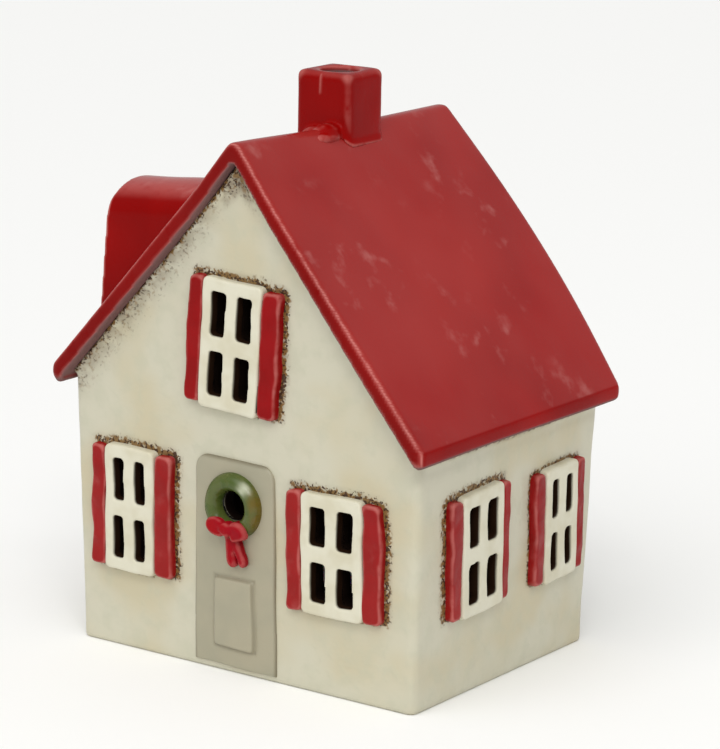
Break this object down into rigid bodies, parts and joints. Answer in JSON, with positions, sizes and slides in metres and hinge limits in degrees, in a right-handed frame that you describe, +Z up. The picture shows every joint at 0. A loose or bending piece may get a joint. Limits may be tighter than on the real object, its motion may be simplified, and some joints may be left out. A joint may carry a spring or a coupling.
{
  "type": "ceramic tealight house",
  "caption": "Slab-built ceramic cottage lantern with a steep glazed roof, open chimney flue, barrel dormer, pierced shuttered windows, wreathed door and a rear arch for a tealight.",
  "frame": {"origin": "middle of the underside of the floor slab, on the table", "axes": "+Z up, -Y out of the door wall, +X to the right of someone who faces the door"},
  "size_m": [0.1224, 0.0978, 0.1592],
  "materials": {
    "wall_glaze": "satin",
    "roof_glaze": "gloss",
    "frame_glaze": "satin",
    "shutter_glaze": "gloss",
    "door_glaze": "satin",
    "wreath_glaze": "satin",
    "bow_glaze": "gloss",
    "cup_aluminium": "satin",
    "wax": "waxy satin",
    "wick_cotton": "matte",
    "sustainer_steel": "satin"
  },
  "bodies": {
    "house": {"front_wall": "wall_glaze", "back_wall": "wall_glaze", "left_wall": "wall_glaze", "right_wall": "wall_glaze", "floor_slab": "wall_glaze", "left_eave_coil": "wall_glaze", "right_eave_coil": "wall_glaze", "left_roof_slab": "roof_glaze", "right_roof_slab": "roof_glaze", "chimney_stack": "roof_glaze", "chimney_collar": "roof_glaze", "dormer_hood": "roof_glaze", "dormer_face": "wall_glaze", "dormer_window_frame": "frame_glaze", "gable_window_frame": "frame_glaze", "gable_window_shutter_left": "shutter_glaze", "gable_window_shutter_right": "shutter_glaze", "front_left_window_frame": "frame_glaze", "front_left_window_shutter_left": "shutter_glaze", "front_left_window_shutter_right": "shutter_glaze", "front_right_window_frame": "frame_glaze", "front_right_window_shutter_left": "shutter_glaze", "front_right_window_shutter_right": "shutter_glaze", "right_front_window_frame": "frame_glaze", "right_front_window_shutter_left": "shutter_glaze", "right_front_window_shutter_right": "shutter_glaze", "right_rear_window_frame": "frame_glaze", "right_rear_window_shutter_left": "shutter_glaze", "right_rear_window_shutter_right": "shutter_glaze", "left_front_window_frame": "frame_glaze", "left_front_window_shutter_left": "shutter_glaze", "left_front_window_shutter_right": "shutter_glaze", "left_rear_window_frame": "frame_glaze", "left_rear_window_shutter_left": "shutter_glaze", "left_rear_window_shutter_right": "shutter_glaze", "door_slab": "door_glaze", "door_panel": "door_glaze", "wreath_ring": "wreath_glaze", "bow_loops": "bow_glaze", "bow_knot": "bow_glaze", "bow_tails": "bow_glaze"},
    "tealight": {"tealight_cup": "cup_aluminium", "tealight_wax": "wax", "wick": "wick_cotton", "wick_sustainer": "sustainer_steel"}
  },
  "joints": [
    {"name": "tealight_slide", "type": "slide", "parent": "house", "child": "tealight", "axis": [0, 1, 0], "range_m": [0, 0.04]}
  ]
}
